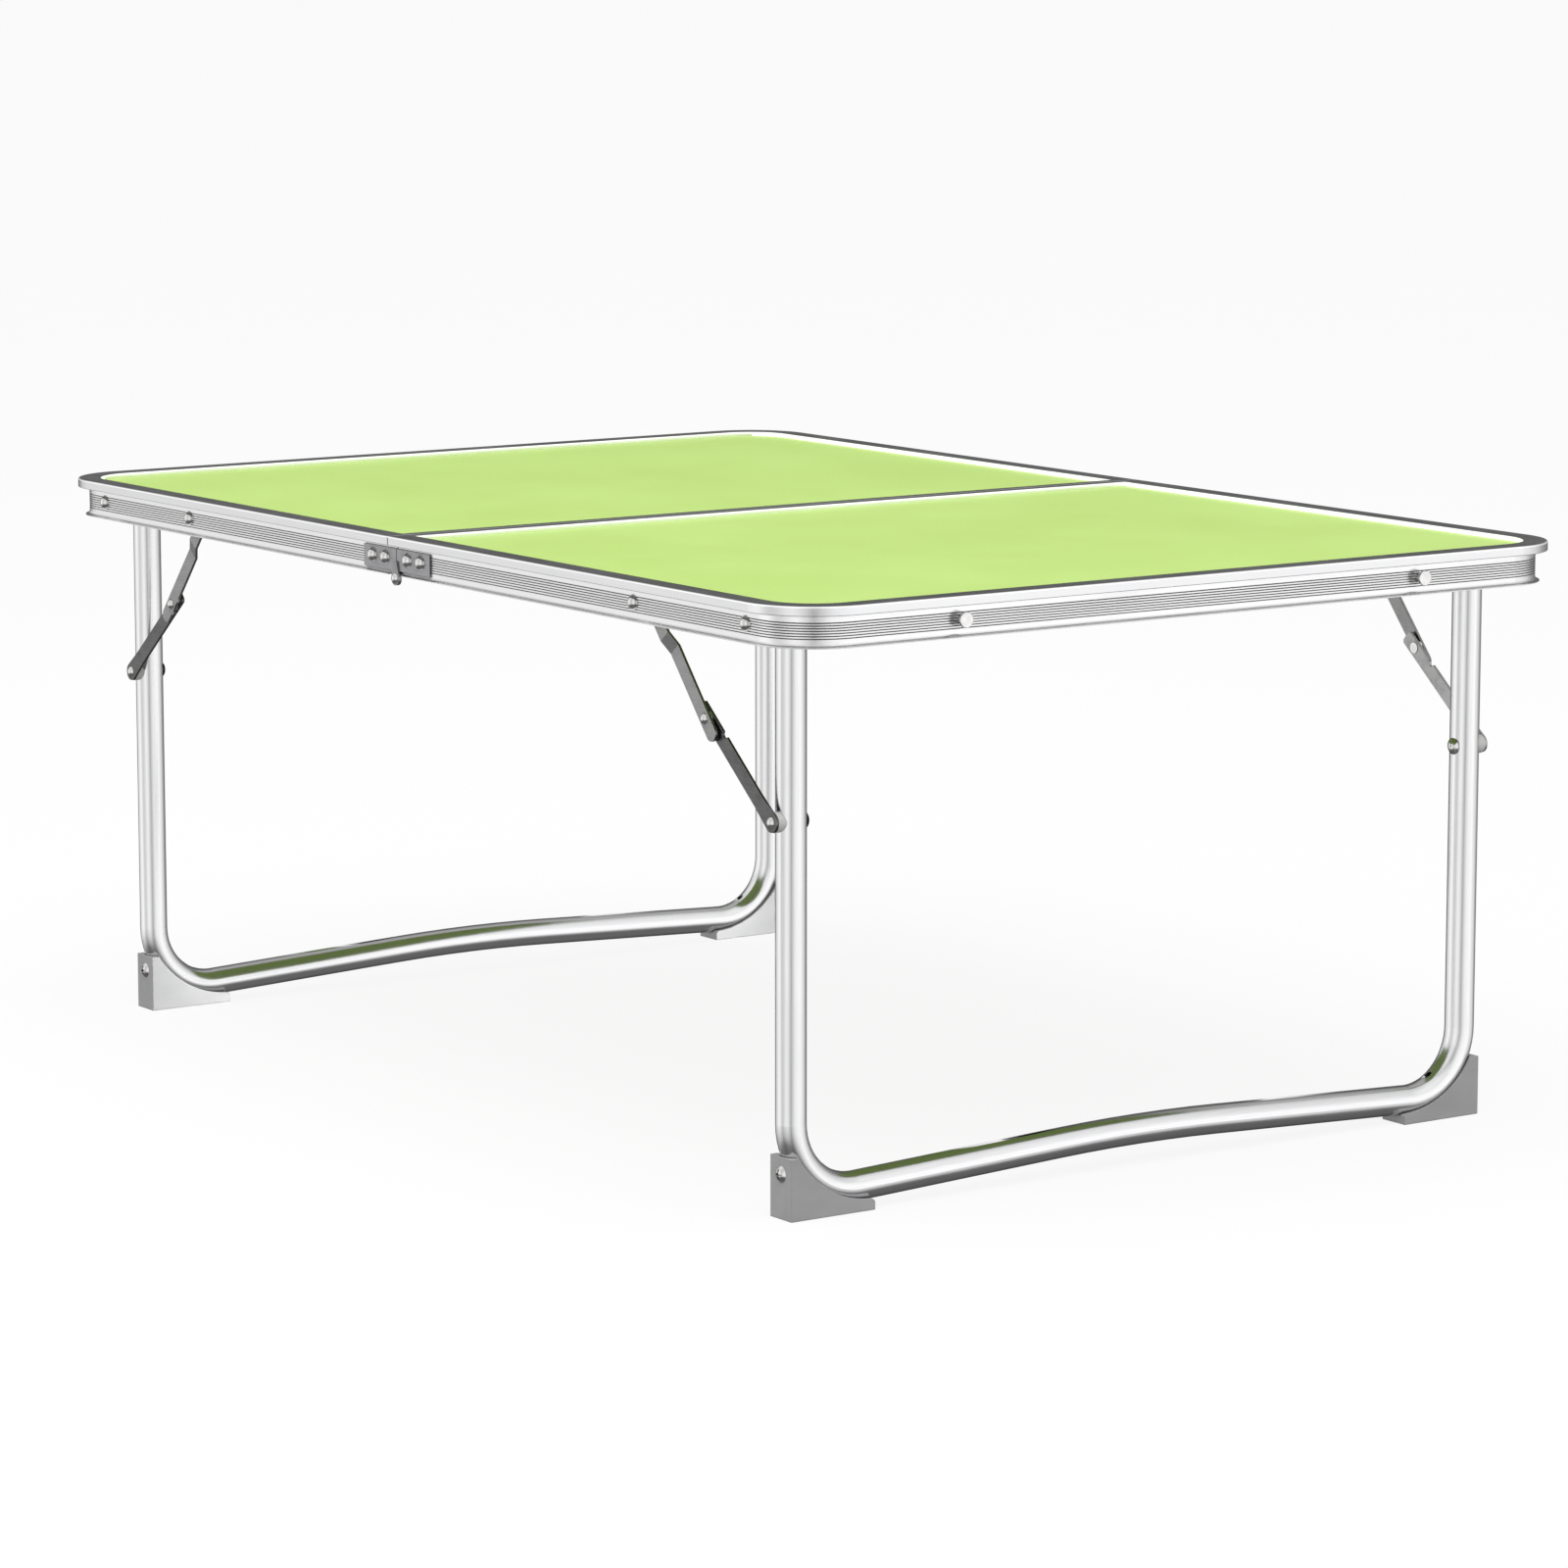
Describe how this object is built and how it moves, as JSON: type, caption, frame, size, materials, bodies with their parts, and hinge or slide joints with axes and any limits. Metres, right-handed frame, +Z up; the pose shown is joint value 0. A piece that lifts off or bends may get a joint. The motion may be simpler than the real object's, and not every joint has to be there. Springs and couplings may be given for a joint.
{
  "type": "folding picnic table",
  "caption": "Low folding picnic table: green top in a grooved aluminium rim, hinged across the middle, on fold-away U-shaped tube legs with jointed braces and plastic feet.",
  "frame": {"origin": "on the floor under the middle of the table, below the middle of the seam", "axes": "+X along the table's length towards half B, +Y across it to the back, +Z up"},
  "size_m": [0.6, 0.4, 0.2475],
  "materials": {
    "rim_aluminium": "satin",
    "tube_aluminium": "satin",
    "panel_green": "satin",
    "hinge_steel": "brushed",
    "brace_steel": "brushed",
    "rivet_steel": "polished",
    "foot_plastic": "matte",
    "spacer_plastic": "matte"
  },
  "bodies": {
    "half_a": {"rim_rail_a": "rim_aluminium", "seam_rail_a": "rim_aluminium", "table_panel_a": "panel_green", "seam_brackets_a": "hinge_steel", "seam_rivets_a": "rivet_steel", "leg_pivot_rivets_a": "rivet_steel", "brace_pivot_rivets_a": "rivet_steel", "latch_studs_a": "rivet_steel", "leg_pivot_spacers_a": "spacer_plastic", "brace_pivot_spacers_a": "spacer_plastic", "hinge_leaf_a_front": "hinge_steel", "hinge_leaf_a_back": "hinge_steel", "hinge_rivets_a": "rivet_steel"},
    "legs_a": {"leg_tube_a": "tube_aluminium", "feet_a": "foot_plastic", "foot_screws_a": "rivet_steel", "brace_rivets_a": "rivet_steel", "saddle_spacers_a": "spacer_plastic"},
    "upper_brace_a_front": {"upper_arm_a_front": "brace_steel", "knee_washer_a_front": "rivet_steel", "knee_rivet_a_front": "rivet_steel"},
    "lower_brace_a_front": {"lower_arm_a_front": "brace_steel", "brace_rivet_head_a_front": "rivet_steel"},
    "upper_brace_a_back": {"upper_arm_a_back": "brace_steel", "knee_washer_a_back": "rivet_steel", "knee_rivet_a_back": "rivet_steel"},
    "lower_brace_a_back": {"lower_arm_a_back": "brace_steel", "brace_rivet_head_a_back": "rivet_steel"},
    "half_b": {"rim_rail_b": "rim_aluminium", "seam_rail_b": "rim_aluminium", "table_panel_b": "panel_green", "seam_brackets_b": "hinge_steel", "seam_rivets_b": "rivet_steel", "leg_pivot_rivets_b": "rivet_steel", "brace_pivot_rivets_b": "rivet_steel", "latch_studs_b": "rivet_steel", "leg_pivot_spacers_b": "spacer_plastic", "brace_pivot_spacers_b": "spacer_plastic", "hinge_leaf_b_front": "hinge_steel", "hinge_leaf_b_back": "hinge_steel", "hinge_rivets_b": "rivet_steel"},
    "legs_b": {"leg_tube_b": "tube_aluminium", "feet_b": "foot_plastic", "foot_screws_b": "rivet_steel", "brace_rivets_b": "rivet_steel", "saddle_spacers_b": "spacer_plastic"},
    "upper_brace_b_front": {"upper_arm_b_front": "brace_steel", "knee_washer_b_front": "rivet_steel", "knee_rivet_b_front": "rivet_steel"},
    "lower_brace_b_front": {"lower_arm_b_front": "brace_steel", "brace_rivet_head_b_front": "rivet_steel"},
    "upper_brace_b_back": {"upper_arm_b_back": "brace_steel", "knee_washer_b_back": "rivet_steel", "knee_rivet_b_back": "rivet_steel"},
    "lower_brace_b_back": {"lower_arm_b_back": "brace_steel", "brace_rivet_head_b_back": "rivet_steel"},
    "hinge_pins": {"hinge_pins": "rivet_steel"},
    "latch_front": {"latch_front": "hinge_steel"},
    "latch_back": {"latch_back": "hinge_steel"}
  },
  "joints": [
    {"name": "fold_pins", "type": "hinge", "parent": "half_b", "child": "hinge_pins", "pos_m": [0, 0, 0.2294], "axis": [0, -1, 0], "range_deg": [0, 90]},
    {"name": "fold_half", "type": "hinge", "parent": "hinge_pins", "child": "half_a", "pos_m": [0, 0, 0.2294], "axis": [0, -1, 0], "range_deg": [0, 90]},
    {"name": "legs_b_fold", "type": "hinge", "parent": "half_b", "child": "legs_b", "pos_m": [0.2603, 0, 0.238], "axis": [0, 1, 0], "range_deg": [0, 89.7]},
    {"name": "upper_brace_b_front_turn", "type": "hinge", "parent": "half_b", "child": "upper_brace_b_front", "pos_m": [0.1811, -0.184, 0.238], "axis": [0, -1, 0], "range_deg": [0, 50.1]},
    {"name": "knee_b_front_turn", "type": "hinge", "parent": "upper_brace_b_front", "child": "lower_brace_b_front", "pos_m": [0.21716, -0.184, 0.19486], "axis": [0, 1, 0], "range_deg": [0, 190.2]},
    {"name": "upper_brace_b_back_turn", "type": "hinge", "parent": "half_b", "child": "upper_brace_b_back", "pos_m": [0.1811, 0.184, 0.238], "axis": [0, -1, 0], "range_deg": [0, 50.1]},
    {"name": "knee_b_back_turn", "type": "hinge", "parent": "upper_brace_b_back", "child": "lower_brace_b_back", "pos_m": [0.21716, 0.184, 0.19486], "axis": [0, 1, 0], "range_deg": [0, 190.2]},
    {"name": "legs_a_fold", "type": "hinge", "parent": "half_a", "child": "legs_a", "pos_m": [-0.2603, 0, 0.238], "axis": [0, -1, 0], "range_deg": [0, 89.7]},
    {"name": "upper_brace_a_front_turn", "type": "hinge", "parent": "half_a", "child": "upper_brace_a_front", "pos_m": [-0.1811, -0.184, 0.238], "axis": [0, 1, 0], "range_deg": [0, 50.1]},
    {"name": "knee_a_front_turn", "type": "hinge", "parent": "upper_brace_a_front", "child": "lower_brace_a_front", "pos_m": [-0.21716, -0.184, 0.19486], "axis": [0, -1, 0], "range_deg": [0, 190.2]},
    {"name": "upper_brace_a_back_turn", "type": "hinge", "parent": "half_a", "child": "upper_brace_a_back", "pos_m": [-0.1811, 0.184, 0.238], "axis": [0, 1, 0], "range_deg": [0, 50.1]},
    {"name": "knee_a_back_turn", "type": "hinge", "parent": "upper_brace_a_back", "child": "lower_brace_a_back", "pos_m": [-0.21716, 0.184, 0.19486], "axis": [0, -1, 0], "range_deg": [0, 190.2]},
    {"name": "latch_front_turn", "type": "hinge", "parent": "half_a", "child": "latch_front", "pos_m": [-0.29735, -0.117, 0.2377], "axis": [-1, 0, 0], "range_deg": [0, 90]},
    {"name": "latch_back_turn", "type": "hinge", "parent": "half_a", "child": "latch_back", "pos_m": [-0.29735, 0.117, 0.2377], "axis": [1, 0, 0], "range_deg": [0, 90]}
  ],
  "couplings": [
    {"joint": "upper_brace_b_front_turn", "follows": "legs_b_fold", "ratio": 0.55669},
    {"joint": "knee_b_front_turn", "follows": "legs_b_fold", "ratio": 2.1134},
    {"joint": "upper_brace_b_back_turn", "follows": "legs_b_fold", "ratio": 0.55669},
    {"joint": "knee_b_back_turn", "follows": "legs_b_fold", "ratio": 2.1134},
    {"joint": "upper_brace_a_front_turn", "follows": "legs_a_fold", "ratio": 0.55669},
    {"joint": "knee_a_front_turn", "follows": "legs_a_fold", "ratio": 2.1134},
    {"joint": "upper_brace_a_back_turn", "follows": "legs_a_fold", "ratio": 0.55669},
    {"joint": "knee_a_back_turn", "follows": "legs_a_fold", "ratio": 2.1134}
  ]
}
